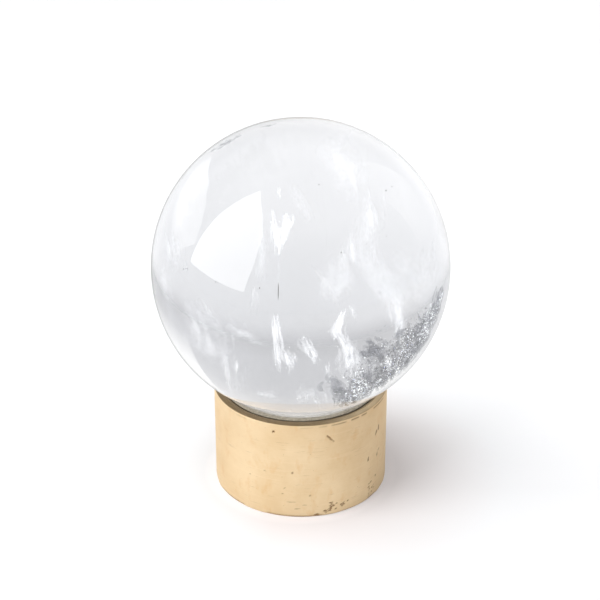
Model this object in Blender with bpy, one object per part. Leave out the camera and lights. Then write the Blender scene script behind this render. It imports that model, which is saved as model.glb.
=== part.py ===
"""A crystal ball resting on a gilded wooden stand.

The ball is a solid sphere of rock crystal. It sits on a loose felt ring in the stand's dished seat,
so it can turn about the upright axis and lift straight off. The stand is one turned block with a
felt pad glued in a shallow recess under it, so that the block clears the table by a hair. Metres,
+Z up, origin at the centre of the underside.
"""

import math

import bmesh
import bpy
from mathutils import Vector

# Driving dimensions.
BALL_RADIUS = 0.050
STAND_RADIUS = 0.030
STAND_HEIGHT = 0.0365
BALL_CENTRE_ABOVE_STAND = 0.0438
SEAT_FELT_THICKNESS = 0.0012
BASE_FELT_THICKNESS = 0.0012
CLEARANCE = 0.0003

# The seat: felt and dish are spheres about the ball's own centre, so the ball stays in full contact.
BALL_CENTRE = STAND_HEIGHT + BALL_CENTRE_ABOVE_STAND
FELT_INNER_RADIUS = BALL_RADIUS + CLEARANCE
FELT_OUTER_RADIUS = FELT_INNER_RADIUS + SEAT_FELT_THICKNESS
DISH_RADIUS = FELT_OUTER_RADIUS + CLEARANCE
FELT_HOLE_ANGLE = math.radians(13.0)
FELT_SINK = 0.0002

# Edges of the block, and the pad in its underside.
TOP_BEVEL = 0.0007
BOTTOM_BEVEL = 0.0004
MOUTH_BEVEL = 0.0003
BLOCK_UNDERSIDE = 0.0004
BASE_FELT_RADIUS = STAND_RADIUS - 0.0017
BASE_FELT_BEVEL = 0.0002
RECESS_RADIUS = BASE_FELT_RADIUS + CLEARANCE
RECESS_CEILING = BASE_FELT_THICKNESS + CLEARANCE

# Fineness of the meshes.
BALL_SEGMENTS = 64
BALL_RINGS = 32
TURNED_SEGMENTS = 72
ARC_STEPS = 8
MERGE_DISTANCE = 1e-6
SHARP_ANGLE = math.radians(32.0)


def clear_scene():
    for obj in list(bpy.data.objects):
        bpy.data.objects.remove(obj, do_unlink=True)


def make_material(name, color, roughness, metallic=0.0, transmission=0.0, ior=1.5):
    material = bpy.data.materials.new(name)
    material.use_nodes = True
    shader = material.node_tree.nodes["Principled BSDF"]
    shader.inputs["Base Color"].default_value = (*color, 1.0)
    shader.inputs["Roughness"].default_value = roughness
    shader.inputs["Metallic"].default_value = metallic
    shader.inputs["Transmission Weight"].default_value = transmission
    shader.inputs["IOR"].default_value = ior
    return material


def add_object(name, shape, material, location=(0.0, 0.0, 0.0)):
    """Turns a bmesh into a smooth-shaded object with one material."""
    bmesh.ops.recalc_face_normals(shape, faces=shape.faces)
    mesh = bpy.data.meshes.new(name)
    shape.to_mesh(mesh)
    shape.free()
    mesh.shade_smooth()
    mesh.set_sharp_from_angle(angle=SHARP_ANGLE)
    mesh.materials.append(material)
    obj = bpy.data.objects.new(name, mesh)
    obj.location = location
    bpy.context.scene.collection.objects.link(obj)
    return obj


def turned_shape(outline, is_ring):
    """Spins an outline of (radius, height) points about Z. A ring's outline closes on itself."""
    shape = bmesh.new()
    points = [shape.verts.new((radius, 0.0, height)) for radius, height in outline]
    edges = [shape.edges.new(pair) for pair in zip(points, points[1:])]
    if is_ring:
        edges.append(shape.edges.new((points[-1], points[0])))
    bmesh.ops.spin(
        shape,
        geom=points + edges,
        cent=Vector((0.0, 0.0, 0.0)),
        axis=Vector((0.0, 0.0, 1.0)),
        angle=math.tau,
        steps=TURNED_SEGMENTS,
        use_merge=True,
    )
    bmesh.ops.remove_doubles(shape, verts=shape.verts, dist=MERGE_DISTANCE)
    return shape


def angle_at_height(radius, height):
    """Angle from straight down at which a sphere about the ball's centre reaches a height."""
    return math.acos((BALL_CENTRE - height) / radius)


def arc_below_ball(radius, start, end):
    """Points on a sphere about the ball's centre, between two angles from straight down."""
    points = []
    for step in range(ARC_STEPS + 1):
        angle = start + (end - start) * step / ARC_STEPS
        points.append((radius * math.sin(angle), BALL_CENTRE - radius * math.cos(angle)))
    return points


def make_crystal_ball():
    """The solid ball, with its origin at its centre, on the axis it turns and lifts along."""
    shape = bmesh.new()
    bmesh.ops.create_uvsphere(
        shape, u_segments=BALL_SEGMENTS, v_segments=BALL_RINGS, radius=BALL_RADIUS
    )
    crystal = make_material("crystal", (0.93, 0.94, 0.94), 0.02, transmission=1.0, ior=1.544)
    return add_object("crystal_ball", shape, crystal, (0.0, 0.0, BALL_CENTRE))


def make_stand_block():
    """The turned wooden block: straight wall, narrow flat rim, spherical dish and pad recess."""
    mouth_angle = angle_at_height(DISH_RADIUS, STAND_HEIGHT - MOUTH_BEVEL)
    dish = arc_below_ball(DISH_RADIUS, mouth_angle, 0.0)
    mouth_radius = dish[0][0]
    outline = [
        (0.0, RECESS_CEILING),
        (RECESS_RADIUS, RECESS_CEILING),
        (RECESS_RADIUS, BLOCK_UNDERSIDE),
        (STAND_RADIUS - BOTTOM_BEVEL, BLOCK_UNDERSIDE),
        (STAND_RADIUS, BLOCK_UNDERSIDE + BOTTOM_BEVEL),
        (STAND_RADIUS, STAND_HEIGHT - TOP_BEVEL),
        (STAND_RADIUS - TOP_BEVEL, STAND_HEIGHT),
        (mouth_radius + MOUTH_BEVEL, STAND_HEIGHT),
    ]
    gilding = make_material("gilding", (0.86, 0.70, 0.45), 0.40, metallic=0.85)
    return add_object("stand_block", turned_shape(outline + dish, False), gilding)


def make_seat_felt():
    """The loose ring of felt that lines the dish and carries the ball, cut level with the rim."""
    rim = STAND_HEIGHT - FELT_SINK
    outer = arc_below_ball(
        FELT_OUTER_RADIUS, FELT_HOLE_ANGLE, angle_at_height(FELT_OUTER_RADIUS, rim)
    )
    inner = arc_below_ball(
        FELT_INNER_RADIUS, angle_at_height(FELT_INNER_RADIUS, rim), FELT_HOLE_ANGLE
    )
    felt = make_material("seat_felt", (0.46, 0.43, 0.37), 0.95)
    return add_object("seat_felt", turned_shape(outer + inner, True), felt)


def make_base_felt():
    """The felt pad glued in the block's recess. Its lower face is what the stand rests on."""
    outline = [
        (0.0, 0.0),
        (BASE_FELT_RADIUS - BASE_FELT_BEVEL, 0.0),
        (BASE_FELT_RADIUS, BASE_FELT_BEVEL),
        (BASE_FELT_RADIUS, BASE_FELT_THICKNESS),
        (0.0, BASE_FELT_THICKNESS),
    ]
    felt = make_material("base_felt", (0.10, 0.07, 0.05), 0.95)
    return add_object("base_felt", turned_shape(outline, False), felt)


def main():
    clear_scene()
    make_stand_block()
    make_base_felt()
    make_seat_felt()
    make_crystal_ball()


main()
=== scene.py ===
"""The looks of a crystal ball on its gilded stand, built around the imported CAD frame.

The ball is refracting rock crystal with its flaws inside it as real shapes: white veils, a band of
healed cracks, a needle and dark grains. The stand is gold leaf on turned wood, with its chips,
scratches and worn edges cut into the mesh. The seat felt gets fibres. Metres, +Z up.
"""

import math
import random

import bpy
import numpy as np
from mathutils import Matrix, Vector, noise


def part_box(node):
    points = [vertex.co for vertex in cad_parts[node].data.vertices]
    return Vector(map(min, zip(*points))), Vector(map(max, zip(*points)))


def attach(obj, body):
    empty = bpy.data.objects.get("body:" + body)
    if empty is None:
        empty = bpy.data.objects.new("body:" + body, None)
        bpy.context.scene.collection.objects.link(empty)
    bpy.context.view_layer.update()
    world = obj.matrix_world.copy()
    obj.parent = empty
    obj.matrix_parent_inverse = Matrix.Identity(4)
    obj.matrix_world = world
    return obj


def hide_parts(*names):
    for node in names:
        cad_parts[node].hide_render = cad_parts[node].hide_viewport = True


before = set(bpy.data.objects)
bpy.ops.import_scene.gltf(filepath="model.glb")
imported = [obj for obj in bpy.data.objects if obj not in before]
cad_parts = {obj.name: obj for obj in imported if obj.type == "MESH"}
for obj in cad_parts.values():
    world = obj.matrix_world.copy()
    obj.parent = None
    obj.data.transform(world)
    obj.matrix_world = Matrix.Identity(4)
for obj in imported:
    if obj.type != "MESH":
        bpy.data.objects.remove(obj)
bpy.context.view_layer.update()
MM = 0.001

# Dimensions taken from the CAD frame.
ball_low, ball_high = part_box("crystal_ball")
block_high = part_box("stand_block")[1]
seat_low, seat_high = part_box("seat_felt")
pad_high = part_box("base_felt")[1]
BALL_CENTRE = (ball_low + ball_high) / 2
BALL_RADIUS = (ball_high.z - ball_low.z) / 2
STAND_RADIUS = block_high.x
RIM_HEIGHT = block_high.z
BLOCK_UNDERSIDE = 0.05 * MM
PAD_RADIUS = pad_high.x
PAD_TOP = pad_high.z
FELT_OUTER = math.hypot(seat_high.x, BALL_CENTRE.z - seat_high.z)
BALL_TO_FELT = 0.1 * MM
FELT_INNER = BALL_RADIUS + BALL_TO_FELT
FELT_TOP = seat_high.z
FELT_HOLE_ANGLE = math.acos((BALL_CENTRE.z - seat_low.z) / FELT_OUTER)
FELT_TO_DISH = 0.3 * MM
DISH_RADIUS = FELT_OUTER + FELT_TO_DISH
QUARTZ_IOR = 1.544

# The camera, and the point beside the upright axis, below the ball's centre, that it looks at.
CAMERA_LENS = 100.0
CAMERA_SENSOR = 36.0
CAMERA_NEAR_LIMIT = 0.01
CAMERA_ELEVATION = math.radians(27.36)
CAMERA_DISTANCE = 0.564
CAMERA_AIM = Vector((-0.25 * MM, 0.0, BALL_CENTRE.z - 12.42 * MM))


# ---------------------------------------------------------------- node trees

WHITE = (1.0, 1.0, 1.0)


class Recipe:
    """A material under construction, with one short call for each kind of node it uses."""

    def __init__(self, name, tree=None):
        if tree is None:
            self.material = bpy.data.materials.new(name)
            self.material.use_nodes = True
            tree = self.material.node_tree
        self.tree = tree
        self.tree.nodes.clear()

    def add(self, kind, inputs=None, **settings):
        """A node with its inputs linked or set. Colours are given as red, green and blue."""
        made = self.tree.nodes.new("ShaderNode" + kind)
        for key, value in settings.items():
            setattr(made, key, value)
        for key, value in (inputs or {}).items():
            if isinstance(value, bpy.types.NodeSocket):
                self.tree.links.new(value, made.inputs[key])
            elif made.inputs[key].type == "RGBA":
                made.inputs[key].default_value = (*value, 1.0)
            else:
                made.inputs[key].default_value = value
        return made

    def coords(self, stretch=(1.0, 1.0, 1.0)):
        """Object coordinates, stretched to make a pattern long in one direction."""
        source = self.add("TexCoord").outputs["Object"]
        mapping = self.add("Mapping", {"Vector": source, "Scale": stretch})
        return mapping.outputs["Vector"]

    def noise(self, scale, detail=3.0, roughness=0.55, stretch=(1.0, 1.0, 1.0)):
        """Noise of about scale lumps to the metre."""
        inputs = {"Scale": scale, "Detail": detail, "Roughness": roughness}
        return self.add("TexNoise", {"Vector": self.coords(stretch), **inputs}).outputs["Fac"]

    def spread(self, value, low, high, to_low=0.0, to_high=1.0):
        """Maps low..high to to_low..to_high, clamped."""
        keys = ("Value", "From Min", "From Max", "To Min", "To Max")
        inputs = dict(zip(keys, (value, low, high, to_low, to_high)))
        return self.add("MapRange", inputs).outputs["Result"]

    def math(self, operation, *values):
        return self.add("Math", dict(enumerate(values)), operation=operation).outputs[0]

    def scaled(self, colour, factor):
        """A colour made brighter or darker by a factor."""
        return self.add("VectorMath", {0: colour, 3: factor}, operation="SCALE").outputs[0]

    def mix(self, factor, first, second):
        """The first colour where the factor is 0, the second where it is 1."""
        return self.add("Mix", {0: factor, 6: first, 7: second}, data_type="RGBA").outputs[2]

    def layers(self, value, colour, steps):
        """A colour that turns into each step's colour as the value goes from its low to its high."""
        for low, high, following in steps:
            colour = self.mix(self.spread(value, low, high), colour, following)
        return colour

    def attribute(self, name):
        return self.add("Attribute", attribute_name=name).outputs["Fac"]

    def bump(self, height, distance, strength):
        inputs = {"Height": height, "Distance": distance, "Strength": strength}
        return self.add("Bump", inputs).outputs["Normal"]

    def mix_shader(self, factor, first, second):
        made = self.add("MixShader", {0: factor})
        self.tree.links.new(first.outputs[0], made.inputs[1])
        self.tree.links.new(second.outputs[0], made.inputs[2])
        return made

    def principled(self, colour, roughness, inputs=None):
        looks = {"Base Color": colour, "Roughness": roughness, **(inputs or {})}
        return self.add("BsdfPrincipled", looks)

    def see_through(self):
        return self.add("BsdfTransparent")

    def finish(self, surface):
        self.add("OutputMaterial", {"Surface": surface.outputs[0]})
        return self.material


# The crystal's painted shade at its outline, and the tint that lamp light takes through it.
CRYSTAL_OUTLINE_SHADE = (0.70, 0.71, 0.72)
CRYSTAL_SHADE = (0.90, 0.91, 0.92)


def crystal_material():
    """Polished rock crystal. Lamps and diffuse light pass straight through, so its shade stays soft."""
    recipe = Recipe("rock_crystal")
    polish = recipe.spread(recipe.noise(60.0, 2.0), 0.4, 0.7, 0.0, 0.004)
    facing = recipe.add("LayerWeight", {"Blend": 0.5}).outputs["Facing"]
    # Painted shade: the colour darkens where the surface is seen edge-on, drawing a dark line round the
    # outline.
    edge = recipe.mix(recipe.spread(facing, 0.86, 0.93), WHITE, CRYSTAL_OUTLINE_SHADE)
    glass = recipe.principled(edge, polish, {"IOR": QUARTZ_IOR, "Transmission Weight": 1.0})
    paths = recipe.add("LightPath")
    clear = recipe.add("BsdfTransparent", {"Color": CRYSTAL_SHADE})
    for_light = recipe.mix_shader(paths.outputs["Is Diffuse Ray"], glass, clear)
    surface = recipe.mix_shader(paths.outputs["Is Shadow Ray"], for_light, clear)
    return recipe.finish(surface)


MIST_WHITE = (0.97, 0.98, 1.0)
PAINTED_SHADE_GREY = (0.30, 0.31, 0.34)


def mist_material(name, opacity, colour, glow=0.0):
    """A cloud of tiny bubbles, or grey painted shade: soft at its edges, streaky, and partly clear all
    through.
    """
    recipe = Recipe(name)
    facing = recipe.add("LayerWeight", {"Blend": 0.5}).outputs["Facing"]
    body = recipe.math("POWER", recipe.math("SUBTRACT", 1.0, facing), 1.6)
    streaks = recipe.noise(900.0, 4.0, 0.65, (1.0, 1.0, 0.14))
    share = recipe.math("MULTIPLY", body, recipe.spread(streaks, 0.32, 0.66, 0.25, 1.0))
    share = recipe.math("MULTIPLY", share, opacity)
    # Painted light: glow gives the white mists an emission glow.
    inputs = {"Specular IOR Level": 0.0, "Emission Color": colour, "Emission Strength": glow}
    cloud = recipe.principled(colour, 0.8, inputs)
    return recipe.finish(recipe.mix_shader(share, recipe.see_through(), cloud))


def glint_material():
    """Crack faces with painted glints for the window they catch: white and glowing, with a rare blue or
    reddish flash.
    """
    recipe = Recipe("crack_glint")
    flash = recipe.noise(2200.0, 2.0)
    colour = recipe.mix(recipe.spread(flash, 0.60, 0.66), (0.92, 0.94, 0.95), (0.42, 0.46, 0.80))
    colour = recipe.mix(recipe.spread(flash, 0.30, 0.26), colour, (0.85, 0.55, 0.50))
    # Painted glint: the white faces glow with emission.
    surface = recipe.principled(colour, 0.35, {"Emission Color": colour, "Emission Strength": 0.45})
    return recipe.finish(recipe.mix_shader(0.85, recipe.see_through(), surface))


def shade_material():
    """Crack faces in painted shade, for cracks that turn the light away: grey, some of them nearly
    black.
    """
    recipe = Recipe("crack_shade")
    shade = recipe.mix(recipe.noise(1800.0, 3.0), (0.08, 0.085, 0.09), (0.60, 0.62, 0.65))
    return recipe.finish(recipe.mix_shader(0.45, recipe.see_through(), recipe.principled(shade, 0.3)))


def mineral_material():
    """Dark grains and the needle's tip: chlorite and iron oxide."""
    recipe = Recipe("dark_mineral")
    shade = recipe.mix(recipe.noise(3000.0), (0.03, 0.03, 0.03), (0.16, 0.14, 0.12))
    return recipe.finish(recipe.principled(shade, 0.5))


# Colours of the gilding, darker end first where there are two: the clouded leaf, its reddish patches
# and pale streaks, the bole under it, and the dark brown of the rim and of the dish.
LEAF = ((0.695, 0.520, 0.311), (0.76, 0.595, 0.384))
LEAF_PATCH = (0.66, 0.42, 0.20)
LEAF_STREAK = (0.86, 0.70, 0.48)
BOLE = ((0.11, 0.055, 0.025), (0.36, 0.22, 0.11))
RIM_DARK_BROWN = ((0.11, 0.075, 0.038), (0.22, 0.15, 0.075))
GOLD_TINT = (1.0, 0.80, 0.52)


def gilding_material():
    """Pale gold leaf over umber bole: mottled, brushed round, and bare where it has worn off."""
    recipe = Recipe("gold_leaf")
    clouds = recipe.spread(recipe.noise(70.0, 4.0, 0.6), 0.35, 0.65)
    leaf = recipe.mix(clouds, *LEAF)
    patches = recipe.spread(recipe.noise(260.0, 3.0, 0.6, (1.0, 1.0, 0.6)), 0.54, 0.70, 0.0, 0.42)
    leaf = recipe.mix(patches, leaf, LEAF_PATCH)
    brushing = recipe.noise(28.0, 5.0, 0.7, (1.0, 1.0, 40.0))
    streaks = recipe.spread(brushing, 0.54, 0.66, 0.0, 0.25)
    leaf = recipe.mix(streaks, leaf, LEAF_STREAK)
    scuffs = recipe.spread(recipe.noise(150.0, 3.0, 0.6, (1.0, 1.0, 16.0)), 0.64, 0.72, 0.0, 0.30)
    freckles = recipe.spread(recipe.noise(1100.0, 2.0), 0.71, 0.77, 0.0, 0.3)
    bare = recipe.math("MAXIMUM", recipe.attribute("bare"), freckles)
    bare = recipe.math("MAXIMUM", bare, scuffs)
    bole = recipe.mix(recipe.noise(1900.0, 3.0), *BOLE)
    rim = recipe.attribute("rim")
    # The rim top and the dish are dark brown.
    leaf = recipe.mix(rim, leaf, recipe.mix(recipe.noise(500.0, 4.0), *RIM_DARK_BROWN))
    colour = recipe.mix(bare, leaf, bole)
    grit = recipe.noise(2600.0, 3.0, 0.6)
    height = recipe.math("ADD", recipe.math("MULTIPLY", brushing, 0.6), grit)
    dull = recipe.math("MAXIMUM", bare, rim)
    inputs = {
        "Metallic": recipe.spread(dull, 0.0, 1.0, 0.75, 0.1),
        "Specular Tint": GOLD_TINT,
        "Coat Weight": recipe.spread(dull, 0.0, 1.0, 0.32, 0.0),
        "Coat Roughness": 0.35,
        "Normal": recipe.bump(height, 0.05 * MM, 0.35),
    }
    brushed = recipe.spread(brushing, 0.3, 0.7, 0.42, 0.56)
    return recipe.finish(recipe.principled(colour, brushed, inputs))


# Darker and paler shades of each wool. The face under the ball is the palest: painted light where the
# ball focuses light onto it.
SEAT_WOOL = ((0.20, 0.168, 0.118), (0.46, 0.398, 0.30))
CAUSTIC_LIT_WOOL = ((0.69, 0.655, 0.61), (0.84, 0.81, 0.775))
BASE_WOOL = ((0.03, 0.02, 0.015), (0.12, 0.08, 0.055))


def felt_material(name, dark, light):
    """Pressed wool: matted fibres that run every way, with a soft sheen."""
    recipe = Recipe(name)
    mat = recipe.noise(1600.0, 5.0, 0.75)
    strands = recipe.noise(700.0, 4.0, 0.7, (3.0, 1.0, 1.0))
    tangle = recipe.math("MULTIPLY", mat, recipe.spread(strands, 0.3, 0.7, 0.6, 1.2))
    shade = recipe.spread(tangle, 0.25, 0.6)
    colour = recipe.mix(shade, dark, light)
    # Painted light: the face under the ball is paler, standing for light focused by the ball.
    colour = recipe.mix(recipe.attribute("pressed"), colour, recipe.mix(shade, *CAUSTIC_LIT_WOOL))
    nap = recipe.bump(tangle, 0.25 * MM, 0.8)
    inputs = {"Sheen Weight": 0.35, "Sheen Roughness": 0.5, "Normal": nap}
    return recipe.finish(recipe.principled(colour, 0.95, inputs))


# ---------------------------------------------------------------- meshes


def add_piece(name, verts, faces, material, body, slot, replaces=(), values=None):
    """One mesh that rides on a CAD body. values holds named numbers for each vertex."""
    mesh = bpy.data.meshes.new(name)
    mesh.from_pydata([tuple(v) for v in verts], [], faces)
    mesh.validate()
    mesh.materials.append(material)
    mesh.shade_smooth()
    for key, numbers in (values or {}).items():
        attribute = mesh.attributes.new(key, "FLOAT", "POINT")
        attribute.data.foreach_set("value", np.asarray(numbers, np.float32))
    obj = bpy.data.objects.new(name, mesh)
    bpy.context.scene.collection.objects.link(obj)
    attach(obj, body)
    if replaces:
        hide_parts(*replaces)
    return obj


def turned_rings(outline, columns):
    """(radius, height, angle) of each ring point of an outline turned about Z, ring by ring."""
    angles = np.tile(np.arange(columns) * math.tau / columns, len(outline))
    radii = np.repeat([point[0] for point in outline], columns)
    heights = np.repeat([point[1] for point in outline], columns)
    return radii, heights, angles


def ring_faces(rings, columns, closed_profile):
    """Quads between neighbouring rings; a ring shape also joins its last outline point to the first."""
    faces = []
    for ring in range(rings if closed_profile else rings - 1):
        low = ring * columns
        high = (ring + 1) % rings * columns
        for column in range(columns):
            after = (column + 1) % columns
            faces.append((low + column, low + after, high + after, high + column))
    return faces


def points_from(radii, heights, angles):
    """Turned points as XYZ. Angle 0 faces the front (-Y) and grows towards +X."""
    return np.stack([radii * np.sin(angles), -radii * np.cos(angles), heights], axis=1)


def cap_ends(points, faces, columns, first_height, last_height):
    """Closes a turned shape's first and last rings with fans to points on its axis."""
    first_tip = len(points)
    last_tip = first_tip + 1
    last_ring = first_tip - columns
    for column in range(columns):
        after = (column + 1) % columns
        faces.append((first_tip, after, column))
        faces.append((last_tip, last_ring + column, last_ring + after))
    return np.concatenate([points, [(0.0, 0.0, first_height), (0.0, 0.0, last_height)]])


def arc_below_ball(radius, start, end, steps):
    """Outline points on a sphere about the ball's centre, between two angles from straight down."""
    turns = np.linspace(start, end, steps + 1)
    return [(radius * math.sin(t), BALL_CENTRE.z - radius * math.cos(t)) for t in turns]


def angle_at_height(radius, height):
    """The angle from straight down at which a sphere about the ball's centre reaches a height."""
    return math.acos((BALL_CENTRE.z - height) / radius)


def smooth_step(values):
    """Clamps to 0..1 and eases both ends."""
    held = np.clip(values, 0.0, 1.0)
    return held * held * (3.0 - 2.0 * held)


def noise_at(points, scale, seed=0.0):
    """Perlin noise, about -1..1, at each point."""
    shift = Vector((seed, seed * 1.7, -seed))
    return np.array([noise.noise(Vector(p) * scale + shift) for p in points])


# ---------------------------------------------------------------- the gilded block

# Marks on the wall: angle from the front in degrees, then height, half length, half width in mm,
# tilt of the long side from level in degrees, and depth in mm.
WALL_MARKS = (
    (-17.6, 33.2, 0.40, 0.40, 0, 0.45),
    (19.0, 30.7, 1.90, 0.26, -49, 0.20),
    (62.6, 26.0, 1.20, 0.40, 97, 0.15),
    (59.6, 24.9, 1.10, 0.34, 60, 0.12),
    (50.6, 16.4, 0.95, 0.30, 82, 0.12),
    (63.5, 17.0, 0.70, 0.24, 15, 0.08),
    (61.5, 15.6, 1.00, 0.24, 80, 0.10),
    (59.8, 7.3, 0.40, 0.30, 20, 0.15),
    (-5.3, 17.8, 0.38, 0.28, 60, 0.12),
    (-10.5, 11.5, 0.35, 0.20, 40, 0.08),
    (-12.0, 9.2, 0.30, 0.24, 0, 0.08),
    (-24.0, 17.2, 0.55, 0.16, -25, 0.06),
    (-35.0, 14.0, 0.35, 0.20, 10, 0.06),
    (6.0, 8.6, 0.40, 0.22, 50, 0.06),
    (18.2, 2.2, 1.60, 0.12, 40, 0.08),
    (32.5, 3.6, 0.40, 0.25, 30, 0.12),
    (10.3, 0.7, 1.10, 0.32, 4, 0.25),
    (-2.0, 3.4, 0.90, 0.18, 5, 0.06),
    (2.5, 4.9, 0.80, 0.14, 0, 0.05),
    (-6.0, 6.0, 1.60, 0.14, 3, 0.05),
)
# Chipped patches, each a cluster of crumbs: angle in degrees, height and reach in mm, crumbs.
CHIPPED_PATCHES = (
    (20.5, 3.3, 0.80, 20),
    (28.8, 2.9, 0.45, 10),
    (16.5, 1.7, 0.50, 6),
    (54.0, 4.0, 1.10, 12),
)
WALL_COLUMNS = 560
STRAY_MARKS = 30
TOP_BEVEL = 0.3 * MM
BOTTOM_BEVEL = 0.2 * MM
RECESS_GAP = 0.3 * MM
MOUTH_ROUNDING = 0.3 * MM
WALL_UNEVENNESS = 0.035 * MM
EDGE_WEAR_DEPTH = 0.12 * MM
WORN_LINE_DROP = 1.0 * MM
WORN_LINE_REACH = 0.24 * MM
FOOT_WEAR_REACH = 0.55 * MM
# The wall's rings: finest below the first height and above the second.
FINE_BELOW = 6.0 * MM
FINE_ABOVE = 31.0 * MM


def chip_marks():
    """The crumbs of the chipped patches, as marks."""
    rng = random.Random(3)
    marks = []
    for middle, level, reach, count in CHIPPED_PATCHES:
        for _ in range(count):
            angle = middle + math.degrees(rng.gauss(0.0, reach) * MM / STAND_RADIUS)
            height = max(level + rng.gauss(0.0, reach), 0.4)
            length = rng.uniform(0.2, 0.6)
            width = rng.uniform(0.1, 0.25)
            marks.append((angle, height, length, width, rng.gauss(35.0, 25.0), 0.14))
    return marks


def stray_marks():
    """Small nicks scattered round the back and the sides, more of them near the bottom edge."""
    rng = random.Random(7)
    marks = []
    for _ in range(STRAY_MARKS):
        angle = rng.uniform(75.0, 285.0)
        height = 2.0 + 33.0 * rng.random() ** 1.6
        length = rng.uniform(0.15, 0.8)
        width = rng.uniform(0.08, 0.22)
        marks.append((angle, height, length, width, rng.uniform(-80, 80), 0.1))
    return marks


def block_outline():
    """The block's outline from under the pad, up the wall, over the rim and down the dish."""
    recess_radius = PAD_RADIUS + RECESS_GAP
    recess_ceiling = PAD_TOP + RECESS_GAP
    mouth = angle_at_height(DISH_RADIUS, RIM_HEIGHT - MOUTH_ROUNDING)
    dish = arc_below_ball(DISH_RADIUS, mouth, math.radians(1.0), 14)
    mouth_radius = dish[0][0]
    low = BLOCK_UNDERSIDE + BOTTOM_BEVEL
    high = RIM_HEIGHT - TOP_BEVEL
    wall = np.concatenate(
        [
            np.arange(low, FINE_BELOW, 0.2 * MM),
            np.arange(FINE_BELOW, FINE_ABOVE, 0.35 * MM),
            np.linspace(FINE_ABOVE, high, 24),
        ]
    )
    outline = [(0.5 * recess_radius, recess_ceiling), (recess_radius, recess_ceiling)]
    outline.append((recess_radius, BLOCK_UNDERSIDE))
    for turn in np.linspace(0.0, math.pi / 2, 4)[:-1]:
        out = STAND_RADIUS - BOTTOM_BEVEL * (1.0 - math.sin(turn))
        outline.append((out, BLOCK_UNDERSIDE + BOTTOM_BEVEL * (1.0 - math.cos(turn))))
    outline += [(STAND_RADIUS, height) for height in wall]
    for turn in np.linspace(0.0, math.pi / 2, 6)[1:]:
        out = STAND_RADIUS - TOP_BEVEL * (1.0 - math.cos(turn))
        outline.append((out, high + TOP_BEVEL * math.sin(turn)))
    for radius in np.linspace(STAND_RADIUS - TOP_BEVEL, mouth_radius + MOUTH_ROUNDING, 7)[1:]:
        outline.append((radius, RIM_HEIGHT))
    return outline + dish


def signed_turn(angles, middle):
    """Each angle's turn from a middle given in degrees, between half a turn back and ahead."""
    return (angles - math.radians(middle) + math.pi) % math.tau - math.pi


def mark_wear(heights, angles, points, on_wall):
    """How bare each point is, and how deep its nicks are, from the marks."""
    ragged = noise_at(points, 1300.0, 3.0)
    bare = np.zeros(len(points))
    depth = np.zeros(len(points))
    for angle, height, length, width, tilt, deep in (*WALL_MARKS, *chip_marks(), *stray_marks()):
        across = signed_turn(angles, angle) * STAND_RADIUS / MM
        up = heights / MM - height
        cos, sin = math.cos(math.radians(tilt)), math.sin(math.radians(tilt))
        along = (across * cos + up * sin) / length
        side = (up * cos - across * sin) / width
        mask = smooth_step((1.3 - np.hypot(along, side) + 0.45 * ragged) / 0.5) * on_wall
        bare = np.maximum(bare, mask * min(1.0, 0.15 + deep / 0.14))
        depth = np.maximum(depth, mask * deep * MM)
    return bare, depth


def near_height(heights, level, reach):
    """1 at a level, falling smoothly to 0 a few reaches above and below it."""
    return np.exp(-(((heights - level) / reach) ** 2))


def edge_wear(heights, angles, points, on_wall):
    """How worn each point is by the dashed line under the rim and by the rubbed foot, 0 to 1."""
    right_side = smooth_step((np.sin(angles) - 0.15) / 0.4)
    ragged_line = noise_at(np.stack([angles * 9.0, 0 * angles, 0 * angles], 1), 1.0, 5.0)
    dashes = smooth_step((ragged_line + 0.12 * right_side) * 5.0)
    line = near_height(heights, RIM_HEIGHT - WORN_LINE_DROP, WORN_LINE_REACH) * on_wall
    worn_line = line * dashes * (0.25 + 0.75 * right_side)
    foot = smooth_step(noise_at(points, 160.0, 9.0) * 3.0 + 0.3)
    front_foot = smooth_step((math.radians(20.0) - np.abs(signed_turn(angles, -4.0))) * 20.0)
    foot = np.maximum(foot, 0.9 * front_foot)
    low_edge = near_height(heights, BLOCK_UNDERSIDE, FOOT_WEAR_REACH) * on_wall * foot
    return np.maximum(worn_line, low_edge)


def make_block():
    """The gilded block: hand-smoothed, slightly uneven wall with nicks, scratches and worn edges."""
    outline = block_outline()
    radii, heights, angles = turned_rings(outline, WALL_COLUMNS)
    points = points_from(radii, heights, angles)
    on_wall = radii > STAND_RADIUS - TOP_BEVEL
    bare, depth = mark_wear(heights, angles, points, on_wall)
    worn = edge_wear(heights, angles, points, on_wall)
    bare = np.maximum(bare, worn)
    depth = np.maximum(depth, EDGE_WEAR_DEPTH * worn)
    wallness = smooth_step((radii - STAND_RADIUS + TOP_BEVEL) / TOP_BEVEL)
    unevenness = WALL_UNEVENNESS * noise_at(points, 90.0, 1.0) * wallness
    radii = radii + unevenness - depth
    points = points_from(radii, heights, angles)
    level = (heights >= RIM_HEIGHT - 0.15 * MM).astype(float)
    in_dish = (radii < STAND_RADIUS - 2.0 * MM) & (heights > PAD_TOP + 1.0 * MM)
    worn_side = smooth_step((np.sin(angles) - 0.1) / 0.7) * (np.cos(angles) > 0.0)
    rubbed = worn_side * (0.72 + 0.28 * noise_at(points, 260.0, 11.0))
    rim = np.maximum(level * (1.0 - 0.65 * rubbed), in_dish.astype(float))
    faces = ring_faces(len(outline), WALL_COLUMNS, False)
    dish_bottom = BALL_CENTRE.z - DISH_RADIUS
    points = cap_ends(points, faces, WALL_COLUMNS, outline[0][1], dish_bottom)
    values = {"bare": np.append(bare, [0, 0]), "rim": np.append(rim, [0, 1])}
    rides = ("stand", "gilding", ["stand_block"])
    obj = add_piece("gilded_block", points, faces, gilding_material(), *rides, values)
    obj.data.set_sharp_from_angle(angle=math.radians(50.0))
    return obj


# ---------------------------------------------------------------- the felts

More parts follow.
